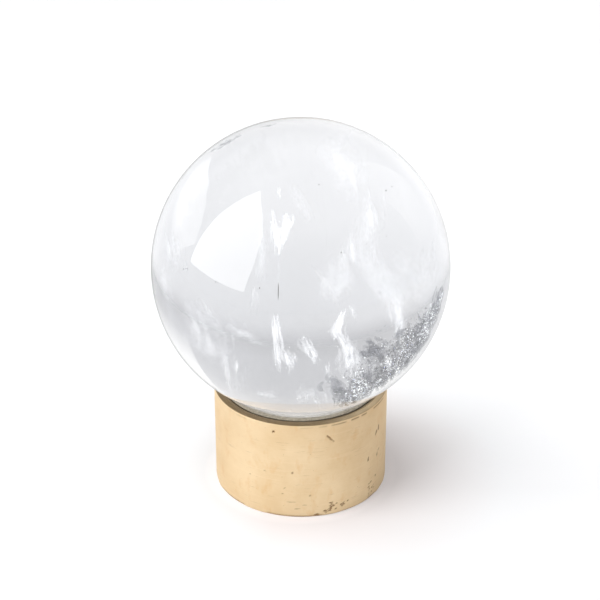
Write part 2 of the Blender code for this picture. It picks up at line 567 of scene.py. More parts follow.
FELT_COLUMNS = 240
FELT_CROWN = 0.22 * MM
SEAT_FIBRES = 700
FIBRE_THICKNESS = 0.02 * MM
FIBRE_REACH = 0.9 * MM
PAD_FILLET = 0.3 * MM
PAD_UNEVENNESS = 0.05 * MM


def make_seat_felt(material):
    """The felt ring in the dish: soft, a little uneven, its cut top edge slightly crowned."""
    outer_end = angle_at_height(FELT_OUTER, FELT_TOP)
    inner_end = angle_at_height(FELT_INNER, FELT_TOP)
    outer = arc_below_ball(FELT_OUTER, FELT_HOLE_ANGLE, outer_end, 12)
    inner = arc_below_ball(FELT_INNER, inner_end, FELT_HOLE_ANGLE, 12)
    edge = []
    for share in np.linspace(0.0, 1.0, 7)[1:-1]:
        radius = outer[-1][0] + (inner[0][0] - outer[-1][0]) * share
        edge.append((radius, FELT_TOP + FELT_CROWN * math.sin(math.pi * share)))
    outline = outer + edge + inner
    radii, heights, angles = turned_rings(outline, FELT_COLUMNS)
    points = points_from(radii, heights, angles)
    near_top = smooth_step((heights - FELT_TOP + 1.0 * MM) / MM)
    waves = 0.10 * noise_at(points, 900.0, 2.0) + 0.07 * noise_at(points, 220.0, 4.0)
    heights = heights + near_top * MM * waves
    points = points_from(radii, heights, angles)
    faces = ring_faces(len(outline), FELT_COLUMNS, True)
    reach = np.hypot(radii, heights - BALL_CENTRE.z)
    # The face under the ball, which gets painted light.
    pressed = smooth_step((FELT_INNER + 0.25 * MM - reach) / (0.2 * MM))
    rides = ("seat", "seat_felt", ["seat_felt"])
    return add_piece("seat_felt_ring", points, faces, material, *rides, {"pressed": pressed})


def make_base_felt(material):
    """The felt pad in the block's recess, with a softly rounded, uneven lower edge."""
    flat_radius = PAD_RADIUS - PAD_FILLET
    outline = [(radius, 0.0) for radius in np.linspace(2.0 * MM, flat_radius, 14)]
    for turn in np.linspace(0.0, math.pi / 2, 5)[1:]:
        out = flat_radius + PAD_FILLET * math.sin(turn)
        outline.append((out, PAD_FILLET * (1.0 - math.cos(turn))))
    outline += [(PAD_RADIUS, PAD_TOP), (0.5 * PAD_RADIUS, PAD_TOP)]
    radii, heights, angles = turned_rings(outline, FELT_COLUMNS)
    points = points_from(radii, heights, angles)
    lift = PAD_UNEVENNESS * (1.0 + noise_at(points, 700.0, 6.0))
    inset = PAD_UNEVENNESS * (1.0 + noise_at(points, 500.0, 8.0))
    heights = np.where(heights < 0.5 * PAD_TOP, heights + lift, heights)
    radii = radii - inset * (radii > flat_radius)
    points = points_from(radii, heights, angles)
    faces = ring_faces(len(outline), FELT_COLUMNS, False)
    points = cap_ends(points, faces, FELT_COLUMNS, PAD_UNEVENNESS, PAD_TOP)
    rides = ("stand", "base_felt", ["base_felt"])
    return add_piece("base_felt_pad", points, faces, material, *rides)


def spindle_widths(width, stations, power):
    """Widths along a spindle that swells to its middle. A lower power makes its ends blunter."""
    return [width * math.sin(math.pi * step / (stations - 1)) ** power for step in range(stations)]


def add_strand(verts, faces, path, widths, roll=0.0, flatness=1.0, sides=4):
    """Adds one closed spindle along a path, pointed at both ends.

    roll turns its cross-section about the path, and flatness squeezes it one way.
    """
    start = len(verts)
    verts.append(path[0])
    for index in range(1, len(path) - 1):
        ahead = (path[index + 1] - path[index - 1]).normalized()
        side = Matrix.Rotation(roll, 3, ahead) @ ahead.orthogonal().normalized()
        other = ahead.cross(side) * flatness
        for corner in range(sides):
            turn = math.tau * corner / sides
            reach = side * math.cos(turn) + other * math.sin(turn)
            verts.append(path[index] + widths[index] * reach)
    verts.append(path[-1])
    end = len(verts) - 1
    rings = len(path) - 2
    for corner in range(sides):
        after = (corner + 1) % sides
        faces.append((start, start + 1 + after, start + 1 + corner))
        for ring in range(rings - 1):
            low = start + 1 + ring * sides
            high = low + sides
            faces.append((low + corner, low + after, high + after, high + corner))
        last = start + 1 + (rings - 1) * sides
        faces.append((end, last + corner, last + after))


def make_seat_fibres(material):
    """Loose wool fibres standing out of the seat felt's cut edge."""
    rng = random.Random(21)
    verts, faces = [], []
    for _ in range(SEAT_FIBRES):
        root, lean = seat_fibre_root(rng)
        reach = FIBRE_REACH * rng.uniform(0.4, 1.0)
        curl = Vector([rng.uniform(-1, 1) for _ in range(3)]) * 0.8
        path = []
        for step in range(5):
            share = step / 4
            path.append(root + (lean * share + curl * share * share * 0.6) * reach)
        widths = [0.0] + [FIBRE_THICKNESS * rng.uniform(0.7, 1.2)] * 3 + [0.0]
        add_strand(verts, faces, path, widths, rng.uniform(0, math.pi))
    return add_piece("seat_felt_fibres", verts, faces, material, "seat", "seat_felt")


def seat_fibre_root(rng):
    """A root on the seat felt's cut top edge, leaning up and sideways."""
    turn = rng.uniform(0.0, math.tau)
    inner = FELT_INNER * math.sin(angle_at_height(FELT_INNER, FELT_TOP))
    outer = FELT_OUTER * math.sin(angle_at_height(FELT_OUTER, FELT_TOP))
    radius = rng.uniform(inner + 0.3 * MM, outer - 0.1 * MM)
    root = Vector((radius * math.sin(turn), -radius * math.cos(turn), FELT_TOP))
    outward = Vector((math.sin(turn), -math.cos(turn), 0.0))
    along = Vector((math.cos(turn), math.sin(turn), 0.0))
    lean = outward * rng.uniform(-0.2, 0.6) + along * rng.uniform(-1.0, 1.0)
    return root, (lean + Vector((0, 0, rng.uniform(0.1, 0.6)))).normalized()


# ---------------------------------------------------------------- the ball and its flaws


SPHERE_STEPS = 72
SAME_POINT = 0.01 * MM


def make_sphere(material):
    """The polished ball, from a cube's faces blown up to a sphere, so that it has no poles."""
    steps = SPHERE_STEPS
    verts, faces, index = [], [], {}
    for axis in range(3):
        for sign in (-1.0, 1.0):
            grid = []
            for i in range(steps + 1):
                for j in range(steps + 1):
                    across = math.tan(math.pi / 4 * (2 * i / steps - 1))
                    up = math.tan(math.pi / 4 * (2 * j / steps - 1))
                    point = Vector()
                    point[axis] = sign
                    point[(axis + 1) % 3] = across
                    point[(axis + 2) % 3] = up
                    point = point.normalized() * BALL_RADIUS
                    key = tuple(round(value / SAME_POINT) for value in point)
                    if key not in index:
                        index[key] = len(verts)
                        verts.append(point + BALL_CENTRE)
                    grid.append(index[key])
            for i in range(steps):
                for j in range(steps):
                    first = i * (steps + 1) + j
                    second = first + steps + 1
                    quad = (grid[first], grid[second], grid[second + 1], grid[first + 1])
                    faces.append(quad if sign > 0 else quad[::-1])
    return add_piece("crystal_sphere", verts, faces, material, "ball", "crystal", ["crystal_ball"])


def viewing_frame():
    """The camera's place, and its sideways, upward and forward directions at the ball."""
    back = Vector((0.0, -math.cos(CAMERA_ELEVATION), math.sin(CAMERA_ELEVATION)))
    place = CAMERA_AIM + back * CAMERA_DISTANCE
    ahead = (BALL_CENTRE - place).normalized()
    side = Vector((1.0, 0.0, 0.0))
    return place, side, side.cross(ahead), ahead


VIEW_PLACE, VIEW_SIDE, VIEW_UP, VIEW_AHEAD = viewing_frame()
OUTLINE_ANGLE = math.asin(BALL_RADIUS / (BALL_CENTRE - VIEW_PLACE).length)
FARTHEST_SEEN = 0.975


def seen_point(across, up, depth):
    """The point inside the ball that a viewer at the front sees at (across, up).

    Both run from -1 to 1 over the ball's outline. The bend at the surface is undone by Snell's law.
    depth moves the point along the bent ray, in ball radii, from where that ray passes the centre.
    """
    off_axis = min(math.hypot(across, up), FARTHEST_SEEN)
    turn = math.atan2(up, across)
    lean = math.atan(off_axis * math.tan(OUTLINE_ANGLE))
    outward = VIEW_SIDE * math.cos(turn) + VIEW_UP * math.sin(turn)
    ray = VIEW_AHEAD * math.cos(lean) + outward * math.sin(lean)
    offset = VIEW_PLACE - BALL_CENTRE
    nearest = ray.dot(offset)
    reach = nearest * nearest - offset.length_squared + BALL_RADIUS * BALL_RADIUS
    hit = offset + ray * (-nearest - math.sqrt(max(reach, 0.0)))
    normal = hit.normalized()
    cosine = -ray.dot(normal)
    squeeze = 1.0 / QUARTZ_IOR
    inner = math.sqrt(1.0 - squeeze * squeeze * (1.0 - cosine * cosine))
    bent = (ray * squeeze + normal * (squeeze * cosine - inner)).normalized()
    closest = hit - bent * hit.dot(bent)
    return BALL_CENTRE + closest + bent * (depth * BALL_RADIUS)


def along_path(path, share):
    """(across, up, depth) at a share of the way along a path of such points."""
    place = min(max(share, 0.0), 1.0) * (len(path) - 1)
    index = min(int(place), len(path) - 2)
    rest = place - index
    return [a + (b - a) * rest for a, b in zip(path[index], path[index + 1])]


# White veils seen from the front: path of (across, up, depth) in ball radii, half width across the
# path in ball radii, number of puffs, and the longest puff as a share of the path.
BRIGHT_VEILS = (
    (((-0.19, 0.37, 0.1), (-0.165, 0.24, 0.1), (-0.15, 0.09, 0.12)), 0.016, 16, 0.7),
    (((-0.085, 0.34, 0.0), (-0.105, 0.25, 0.0), (-0.14, 0.11, 0.05)), 0.03, 22, 0.7),
    (((-0.15, 0.54, 0.2), (-0.145, 0.48, 0.2)), 0.014, 5, 0.9),
    (((-0.17, -0.33, -0.1), (-0.155, -0.5, -0.1), (-0.14, -0.68, -0.1)), 0.02, 28, 0.6),
    (((-0.095, -0.55, 0.1), (-0.055, -0.68, 0.1)), 0.026, 16, 0.8),
    (((0.02, -0.48, 0.0), (0.07, -0.57, 0.0), (0.105, -0.64, 0.0)), 0.028, 20, 0.7),
    (((0.28, -0.29, -0.1), (0.235, -0.42, -0.1), (0.285, -0.54, -0.1)), 0.028, 22, 0.6),
    (((0.29, -0.46, -0.1), (0.335, -0.58, -0.1), (0.305, -0.72, -0.1)), 0.042, 34, 0.5),
    (((0.33, 0.22, -0.2), (0.345, 0.12, -0.2), (0.36, 0.03, -0.2)), 0.011, 12, 0.7),
    (((0.33, -0.25, -0.2), (0.365, -0.34, -0.2)), 0.014, 8, 0.8),
    (((0.64, -0.2, -0.2), (0.66, -0.34, -0.2), (0.65, -0.47, -0.2)), 0.024, 24, 0.7),
    (((-0.505, -0.56, 0.0), (-0.49, -0.7, 0.0), (-0.465, -0.83, 0.0)), 0.014, 14, 0.6),
    (((-0.425, -0.61, -0.1), (-0.43, -0.71, -0.1)), 0.01, 7, 0.8),
    (((0.18, -0.64, 0.0), (0.2, -0.77, 0.0)), 0.014, 10, 0.8),
    (((-0.075, -0.945, -0.2), (-0.055, -0.965, -0.2)), 0.01, 5, 0.9),
    (((0.15, -0.82, -0.1), (0.17, -0.91, -0.1)), 0.014, 8, 0.8),
    (((0.445, 0.5, 0.0), (0.47, 0.36, 0.0), (0.475, 0.22, 0.0)), 0.016, 8, 0.6),
    (((0.0, -0.8, 0.0), (0.01, -0.93, 0.0)), 0.022, 5, 0.8),
    (((0.09, -0.85, 0.0), (0.12, -0.95, 0.0)), 0.02, 7, 0.8),
)
FAINT_VEILS = (
    (((0.215, 0.84, 0.0), (0.31, 0.66, 0.0), (0.36, 0.44, 0.0)), 0.07, 26, 0.6),
    (((0.45, 0.53, 0.0), (0.47, 0.3, 0.0), (0.435, 0.12, 0.0)), 0.045, 30, 0.6),
    (((0.44, 0.14, 0.0), (0.55, -0.06, 0.0), (0.64, -0.2, 0.0), (0.655, -0.38, -0.1)), 0.062, 84, 0.5),
    (((0.64, 0.1, 0.1), (0.72, -0.06, 0.1), (0.72, -0.24, 0.1)), 0.09, 26, 0.7),
    (((0.4, 0.32, 0.0), (0.42, 0.1, 0.0), (0.5, -0.12, 0.0)), 0.05, 24, 0.6),
    (((-0.76, -0.22, 0.0), (-0.66, -0.41, 0.0), (-0.57, -0.6, 0.0)), 0.045, 24, 0.6),
    (((-0.62, -0.46, 0.0), (-0.54, -0.64, 0.0)), 0.06, 18, 0.7),
    (((-0.37, -0.41, 0.1), (-0.28, -0.53, 0.1)), 0.024, 10, 0.8),
    (((-0.47, -0.37, 0.1), (-0.45, -0.53, 0.1)), 0.018, 8, 0.8),
    (((-0.02, 0.52, 0.2), (0.06, 0.33, 0.2)), 0.035, 12, 0.8),
    (((-0.31, -0.11, 0.2), (-0.31, -0.31, 0.2)), 0.016, 8, 0.8),
    (((0.07, 0.01, -0.2), (0.18, -0.12, -0.2), (0.25, -0.25, -0.2)), 0.035, 16, 0.6),
    (((0.26, 0.07, -0.2), (0.24, -0.08, -0.2), (0.23, -0.22, -0.2)), 0.062, 44, 0.6),
    (((0.88, 0.16, -0.2), (0.86, -0.14, -0.2)), 0.035, 16, 0.7),
    (((-0.88, 0.24, -0.2), (-0.86, 0.0, -0.2)), 0.03, 14, 0.7),
    (((-0.24, 0.22, 0.3), (-0.25, -0.07, 0.3)), 0.035, 12, 0.8),
    (((0.05, -0.79, 0.0), (0.05, -0.9, 0.0)), 0.06, 10, 0.8),
    (((-0.3, -0.84, 0.0), (-0.1, -0.88, 0.0)), 0.03, 8, 0.6),
    (((-0.2, -0.82, 0.0), (-0.18, -0.89, 0.0)), 0.05, 6, 0.8),
    (((-0.44, -0.6, 0.0), (-0.4, -0.84, 0.0)), 0.03, 18, 0.7),
    (((-0.5, -0.37, 0.0), (-0.39, -0.45, 0.0), (-0.24, -0.52, 0.0)), 0.028, 16, 0.4),
    (((-0.74, -0.3, 0.0), (-0.62, -0.48, 0.0), (-0.5, -0.66, 0.0)), 0.06, 16, 0.4),
    (((0.3, 0.92, 0.0), (0.22, 0.76, 0.0), (0.33, 0.6, 0.0)), 0.06, 22, 0.6),
    (((0.29, 0.14, -0.2), (0.31, -0.04, -0.2)), 0.03, 16, 0.8),
    (((-0.82, 0.18, -0.2), (-0.79, 0.02, -0.2)), 0.03, 12, 0.8),
    (((-0.9, 0.04, -0.2), (-0.89, -0.2, -0.2)), 0.045, 22, 0.7),
    (((-0.66, -0.22, 0.0), (-0.55, -0.38, 0.0), (-0.48, -0.5, 0.0)), 0.05, 24, 0.5),
)

# The outer edge of the cracks, close to the ball's outline.
CRACK_FRINGE = (
    (0.934, -0.131, -0.3),
    (0.862, -0.383, -0.3),
    (0.763, -0.555, -0.3),
    (0.631, -0.701, -0.3),
    (0.471, -0.816, -0.3),
)

# Grey veils: a smudge at the left, then painted shade: shadows beside the cracks, a dark fringe where
# the cracks come near the outline, and two dark strokes that follow the outline at the upper left.
GREY_VEILS = (
    (((-0.785, -0.02, -0.1), (-0.765, -0.005, -0.1)), 0.008, 5, 0.9),
    (((0.23, -0.7, -0.1), (0.27, -0.92, -0.1)), 0.052, 20, 0.4),
    (((0.42, -0.5, -0.1), (0.5, -0.64, -0.1)), 0.07, 22, 0.45),
    (((0.52, -0.47, -0.1), (0.58, -0.6, -0.1)), 0.06, 12, 0.45),
    (CRACK_FRINGE, 0.034, 100, 0.2),
    (((0.6, -0.48, -0.2), (0.7, -0.41, -0.2)), 0.04, 9, 0.7),
    (((-0.404, 0.877, -0.3), (-0.504, 0.826, -0.3), (-0.615, 0.751, -0.3)), 0.016, 44, 0.25),
    (((-0.168, 0.952, -0.3), (-0.267, 0.929, -0.3)), 0.011, 16, 0.36),
)


PUFF_STATIONS = 8
PUFF_SIDES = 8
SHORTEST_PUFF = 0.3 * MM


def make_veils(name, veils, material, seed, fineness=1.0):
    """Long soft puffs along each veil, thickest in its middle and frayed at its ends.

    A fineness above 1 makes the puffs thinner and more numerous.
    """
    rng = random.Random(seed)
    verts, faces = [], []
    for path, half_width, count, longest in veils:
        for _ in range(round(count * fineness)):
            middle = min(max(rng.gauss(0.5, 0.26), 0.05), 0.95)
            half = longest * rng.uniform(0.25, 0.5)
            fullness = 0.4 + 0.6 * math.sin(math.pi * middle)
            shift = rng.gauss(0.0, 0.8) * half_width * fullness
            shift_deep = rng.gauss(0.0, half_width) * 1.5
            bow = rng.gauss(0.0, 0.4) * half_width
            points = []
            for step in range(PUFF_STATIONS):
                progress = step / (PUFF_STATIONS - 1)
                share = middle - half + 2.0 * half * progress
                across, up, depth = along_path(path, share)
                overrun = share - min(max(share, 0.0), 1.0)
                across += shift + bow * math.sin(math.pi * progress)
                points.append(seen_point(across, up - overrun * 0.15, depth + shift_deep))
            if (points[-1] - points[0]).length < SHORTEST_PUFF:
                continue
            width = half_width * BALL_RADIUS / QUARTZ_IOR * rng.uniform(0.5, 1.0) * fullness
            widths = spindle_widths(width / fineness, PUFF_STATIONS, 0.8)
            add_strand(verts, faces, points, widths, rng.uniform(0, math.pi), 0.6, PUFF_SIDES)
    return add_piece(name, verts, faces, material, "ball", "crystal")


# The band of healed cracks at the lower right: (across, up) of its middle line and half width.
CRACK_BAND = (
    (0.962, -0.16, 0.010),
    (0.952, -0.21, 0.020),
    (0.905, -0.318, 0.050),
    (0.840, -0.438, 0.095),
    (0.720, -0.562, 0.145),
    (0.595, -0.692, 0.155),
    (0.440, -0.805, 0.115),
    (0.280, -0.895, 0.070),
)
CRACKS_END = 0.968
CRACK_GLINTS = 2600
CRACK_SHADES = 4200
CRACK_PUFFS = 240
FLAKE_THICKNESS = 0.12


def add_flake(verts, faces, centre, size, rng):
    """Adds one closed, lens-thin flake with a jagged rim of five or six corners."""
    facing = Vector([rng.gauss(0, 1) for _ in range(3)]).normalized()
    side = facing.orthogonal().normalized()
    other = facing.cross(side)
    corners = rng.choice((5, 6))
    start = len(verts)
    verts.append(centre + facing * FLAKE_THICKNESS * size)
    verts.append(centre - facing * FLAKE_THICKNESS * size)
    for corner in range(corners):
        turn = math.tau * (corner + rng.uniform(-0.3, 0.3)) / corners
        reach = size * rng.uniform(0.6, 1.0)
        verts.append(centre + (side * math.cos(turn) + other * math.sin(turn)) * reach)
    for corner in range(corners):
        after = (corner + 1) % corners
        faces.append((start, start + 2 + corner, start + 2 + after))
        faces.append((start + 1, start + 2 + after, start + 2 + corner))


def add_flakes(name, verts, faces, material):
    """One piece of flakes in the ball, with crisp facets."""
    obj = add_piece(name, verts, faces, material, "ball", "crystal")
    obj.data.shade_flat()
    return obj


def crack_place(rng, spread=0.5, depths=(-0.5, -0.15)):
    """A random (across, up, depth) in the band of healed cracks, denser along its middle."""
    while True:
        across, up, half = along_path(CRACK_BAND, rng.random() ** 0.85)
        across += rng.gauss(0.0, spread) * half
        up += rng.gauss(0.0, spread) * half
        if math.hypot(across, up) < CRACKS_END:
            return across, up, rng.uniform(*depths)


def clustered(across, up, seed):
    """How densely flakes lie at a place in the band, 0 to 1, so that they come in clusters."""
    lumps = noise.noise(Vector((across * 9.0, up * 9.0, seed)))
    return min(max(0.5 + 1.6 * lumps, 0.12), 1.0)


def make_cracks(name, count, size, material, seed, depths):
    """Small flakes that fill the band of healed cracks between two depths."""
    rng = random.Random(seed)
    verts, faces = [], []
    placed = 0
    while placed < count:
        across, up, depth = crack_place(rng, 0.5, depths)
        if rng.random() > clustered(across, up, seed):
            continue
        centre = seen_point(across, up, depth)
        add_flake(verts, faces, centre, size * math.exp(rng.gauss(0.0, 0.45)), rng)
        placed += 1
    return add_flakes(name, verts, faces, material)


def make_crack_shade_puffs(material):
    """Soft grey puffs of painted shade behind the flakes, where the cracks lie too close to tell apart.
    """
    rng = random.Random(13)
    verts, faces = [], []
    for _ in range(CRACK_PUFFS):
        across, up, depth = crack_place(rng, 0.42)
        turn = rng.uniform(-0.5, 0.5)
        reach = rng.uniform(0.02, 0.06)
        points = []
        for share in np.linspace(-1.0, 1.0, 7):
            slide = reach * share
            points.append(seen_point(across + slide * math.sin(turn), up + slide, depth))
        widths = spindle_widths(rng.uniform(0.4, 1.1) * MM, len(points), 0.7)
        add_strand(verts, faces, points, widths, rng.uniform(0, math.pi), 0.7, PUFF_SIDES)
    return add_piece("painted_shade_puffs", verts, faces, material, "ball", "crystal")


def make_veil_sparks(material):
    """Single bright flakes with painted glints that fringe the white veils."""
    rng = random.Random(12)
    verts, faces = [], []
    for path, half_width, count, _ in BRIGHT_VEILS:
        for _ in range(count // 2):
            across, up, depth = along_path(path, rng.random())
            across += rng.gauss(0.0, half_width)
            up += rng.gauss(0.0, half_width)
            centre = seen_point(across, up, depth + rng.gauss(0.0, 0.05))
            add_flake(verts, faces, centre, MM * rng.uniform(0.08, 0.18), rng)
    return add_flakes("veil_sparks", verts, faces, material)


# Mineral grains as (across, up, depth), and the needle's path: its pale part ends at the third
# point, where its dark lower end begins.
GRAINS = (
    (0.12, 0.55, 0.3),
    (0.57, 0.51, 0.2),
    (0.61, 0.53, 0.2),
    (0.57, 0.21, 0.1),
    (0.27, 0.10, -0.3),
    (0.53, -0.175, 0.0),
    (-0.275, -0.14, 0.2),
    (-0.57, -0.10, 0.0),
    (-0.18, 0.18, 0.5),
)
NEEDLE = (
    (-0.149, 0.09, 0.12),
    (-0.143, -0.06, 0.12),
    (-0.149, -0.10, 0.12),
    (-0.151, -0.225, 0.12),
)


def make_grains(material):
    """Dark mineral grains, and the dark lower end of the needle."""
    rng = random.Random(5)
    verts, faces = [], []
    for spot in GRAINS:
        centre = seen_point(*spot)
        for _ in range(3):
            beside = Vector([rng.gauss(0, 0.08 * MM) for _ in range(3)])
            add_flake(verts, faces, centre + beside, MM * rng.uniform(0.08, 0.16), rng)
    path = [seen_point(*along_path(NEEDLE[2:], step / 5)) for step in range(6)]
    add_strand(verts, faces, path, spindle_widths(0.10 * MM, len(path), 0.5))
    return add_flakes("mineral_grains", verts, faces, material)


def make_needle(material):
    """The needle's pale upper part, a fine straight strand."""
    verts, faces = [], []
    path = [seen_point(*along_path(NEEDLE[:3], step / 7)) for step in range(8)]
    add_strand(verts, faces, path, spindle_widths(0.07 * MM, len(path), 0.5))
    return add_piece("needle_crystal", verts, faces, material, "ball", "crystal")


# ---------------------------------------------------------------- stage, light and camera

FLOOR_RADIUS = 0.75
FLOOR_SIDES = 96
FLOOR_FADE = (0.30, 0.74)
# The table top for all rays but the camera's, darkened with painted shade: in front at the left and at
# the right, then as (low, high, shade) steps going away from the viewer, and beside the stand at the
# left.
FLOOR_FRONT = ((0.93, 0.92, 0.90), (0.64, 0.60, 0.55))
FLOOR_STEPS = (
    (-0.03, 0.03, (0.83, 0.835, 0.85)),
    (0.03, 0.16, (0.645, 0.652, 0.668)),
    (0.16, 0.50, (0.475, 0.482, 0.505)),
)
FLOOR_LEFT = (0.56, 0.56, 0.565)
# The table top for the camera: plain, and tinted with painted bounce light beside the gilding.
FLOOR_SEEN = ((0.965, 0.963, 0.968), (0.94, 0.885, 0.87))
# The room below the horizon, then as (low, high, shade) steps going up.
ROOM_BELOW = (0.525, 0.533, 0.555)
ROOM_STEPS = (
    (-0.10, 0.02, (0.575, 0.582, 0.609)),
    (0.02, 0.20, (0.548, 0.556, 0.582)),
    (0.35, 0.64, (0.67, 0.672, 0.68)),
    (0.66, 0.80, (1.05, 1.05, 1.05)),
)
# What mirrored rays show of the floor and of the room, and near the line of sight at either side.
MIRRORED_FLOOR = (0.92, 0.925, 0.93)
MIRRORED_ROOM = (1.03, 1.035, 1.045)
MIRRORED_NEAR = ((0.46, 0.46, 0.46), (0.80, 0.80, 0.80))
# Outlines of the windows in the wall at the left, as (away, up) from the ball in window distances.
WINDOW_DISTANCE = 1.2
WINDOW_NEAR = ((0.02, 0.05), (-1.12, 0.06), (-1.30, 0.72), (-1.22, 1.50), (-0.85, 1.86), (0.02, 2.1))
WINDOW_FAR = (
    *((0.06, 0.21), (0.19, 0.10), (0.30, -0.02), (2.0, -0.02), (2.2, 0.30)),
    *((1.85, 0.44), (0.77, 0.65), (0.34, 0.56), (0.14, 0.41), (0.08, 0.28)),
)
WINDOW_BEHIND = ((0.1, 0.15), (1.5, 0.15), (1.5, 0.9), (0.1, 0.9))
# Corners of the reflectors, in degrees: from straight away towards the right, then up.
REFLECTOR_RIGHT = ((40, 1), (75, 0), (75, 42), (40, 44))
REFLECTOR_LEFT = ((-72, 14), (-30, 14), (-30, 50), (-72, 50))


def add_stage(name, verts, faces, material):
    """A mesh that belongs to the studio, not to the object."""
    mesh = bpy.data.meshes.new(name)
    mesh.from_pydata([tuple(v) for v in verts], [], faces)
    mesh.materials.append(material)
    obj = bpy.data.objects.new(name, mesh)
    bpy.context.scene.collection.objects.link(obj)
    return obj


def with_mirrored(recipe, colour, pale, line, sign):
    """Changes what mirrored rays show near the line of sight: grey close to it, pale round that.

    line is the ray's direction, or its reverse with a sign of -1.
    """
    dot = recipe.add("VectorMath", {0: line, 1: VIEW_AHEAD * sign}, operation="DOT_PRODUCT")
    cosine = dot.outputs["Value"]
    sideways = recipe.add("SeparateXYZ", {"Vector": line}).outputs["X"]
    grey = recipe.mix(recipe.spread(sideways, -0.1 * sign, 0.1 * sign), *MIRRORED_NEAR)
    shown = recipe.mix(recipe.spread(cosine, 0.915, 0.980), pale, grey)
    near = recipe.spread(cosine, 0.58, 0.80)
    share = recipe.math("MULTIPLY", near, recipe.add("LightPath").outputs["Is Reflection Ray"])
    return recipe.mix(share, colour, shown)


def floor_to_others(recipe, across, depth, diffuse):
    """The table top for all rays but the camera's, in painted shade: darker behind and beside the stand.
    """
    # Painted shade: darker and warmer on the right in front.
    colour = recipe.mix(recipe.spread(across, 0.02, 0.08), *FLOOR_FRONT)
    colour = recipe.layers(depth, colour, FLOOR_STEPS)
    level = recipe.spread(depth, 0.10, 0.02)
    beside = recipe.math("MULTIPLY", level, recipe.spread(across, -0.05, -0.20))
    colour = recipe.mix(beside, colour, FLOOR_LEFT)
    # Painted light: lighter to the sides, and lighter still for diffuse rays.
    lift = recipe.spread(recipe.math("ABSOLUTE", across), 0.0, 0.08, 1.085, 1.155)
    lift = recipe.math("ADD", lift, recipe.math("MULTIPLY", diffuse, 0.12))
    return recipe.scaled(colour, lift)


def floor_to_camera(recipe, across, depth, distance):
    """The table top's shade for the camera: tinted with painted bounce light and lighter close to the
    gilding.
    """
    painted_gold_bounce = recipe.spread(distance, 0.072, 0.036)
    painted_gold_bounce = recipe.math("MULTIPLY", painted_gold_bounce, recipe.spread(across, -0.035, -0.010))
    # Painted shadow: darker in front and lighter behind, at the right.
    tilt = recipe.spread(depth, -0.012, 0.030, -0.04, 0.05)
    tilt = recipe.math("MULTIPLY", tilt, recipe.spread(across, -0.02, 0.035))
    # Painted light: lighter just round the stand's foot.
    foot = recipe.math("ADD", recipe.spread(distance, 0.0300, 0.0345, 1.14, 1.0), tilt)
    return recipe.scaled(recipe.mix(painted_gold_bounce, *FLOOR_SEEN), foot)


def make_floor():
    """A plain pale table top whose far edge fades away, seen whiter by the camera than by the ball."""
    turns = [math.tau * side / FLOOR_SIDES for side in range(FLOOR_SIDES)]
    verts = [(0.0, 0.0, 0.0)]
    verts += [(FLOOR_RADIUS * math.cos(t), FLOOR_RADIUS * math.sin(t), 0.0) for t in turns]
    faces = [(0, 1 + side, 1 + (side + 1) % FLOOR_SIDES) for side in range(FLOOR_SIDES)]
    recipe = Recipe("pale_floor")
    geometry = recipe.add("NewGeometry")
    position = geometry.outputs["Position"]
    distance = recipe.add("VectorMath", {0: position}, operation="LENGTH").outputs["Value"]
    place = recipe.add("SeparateXYZ", {"Vector": position})
    across, depth = place.outputs["X"], place.outputs["Y"]
    paths = recipe.add("LightPath")
    colour = floor_to_others(recipe, across, depth, paths.outputs["Is Diffuse Ray"])
    colour = with_mirrored(recipe, colour, MIRRORED_FLOOR, geometry.outputs["Incoming"], -1.0)
    seen = floor_to_camera(recipe, across, depth, distance)
    colour = recipe.mix(paths.outputs["Is Camera Ray"], colour, seen)
    paper = recipe.add("BsdfDiffuse", {"Color": colour})
    fade = recipe.spread(distance, *FLOOR_FADE)
    paper = recipe.finish(recipe.mix_shader(fade, paper, recipe.see_through()))
    return add_stage("floor", verts, faces, paper)


def make_world():
    """A pale room: white overhead, brighter behind the viewer, dim at the right, white to the camera."""
    world = bpy.data.worlds.new("pale_room")
    bpy.context.scene.world = world
    world.use_nodes = True
    recipe = Recipe("pale_room_nodes", world.node_tree)
    line = recipe.add("TexCoord").outputs["Generated"]
    ways = recipe.add("SeparateXYZ", {"Vector": line})
    right, away, up = (ways.outputs[axis] for axis in "XYZ")
    colour = recipe.layers(up, ROOM_BELOW, ROOM_STEPS)
    paths = recipe.add("LightPath")
    front = recipe.spread(away, -0.1, -0.9, 1.0, 1.3)
    dim = recipe.spread(right, 0.80, 0.97, 1.0, 0.45)
    sides = recipe.spread(recipe.math("ABSOLUTE", right), 0.12, 0.50, 1.0, 1.10)
    for_looks = recipe.math("MULTIPLY", recipe.math("MULTIPLY", front, dim), sides)
    through = paths.outputs["Is Transmission Ray"]
    ceiling = recipe.math("MULTIPLY", recipe.spread(up, 0.74, 0.90), through)
    for_looks = recipe.math("ADD", for_looks, ceiling)
    fill = recipe.spread(away, -0.8, 0.6, 1.48, 0.50)
    for_light = recipe.math("MULTIPLY", fill, recipe.spread(right, -0.2, 0.9, 1.0, 0.88))
    level = recipe.add("Mix", {0: paths.outputs["Is Diffuse Ray"], 2: for_looks, 3: for_light})
    colour = with_mirrored(recipe, colour, MIRRORED_ROOM, line, 1.0)
    seen = paths.outputs["Is Camera Ray"]
    colour = recipe.mix(seen, colour, WHITE)
    level = recipe.math("MAXIMUM", level.outputs[0], seen)
    background = recipe.add("Background", {"Color": colour, "Strength": level})
    recipe.add("OutputWorld", {"Surface": background.outputs[0]})


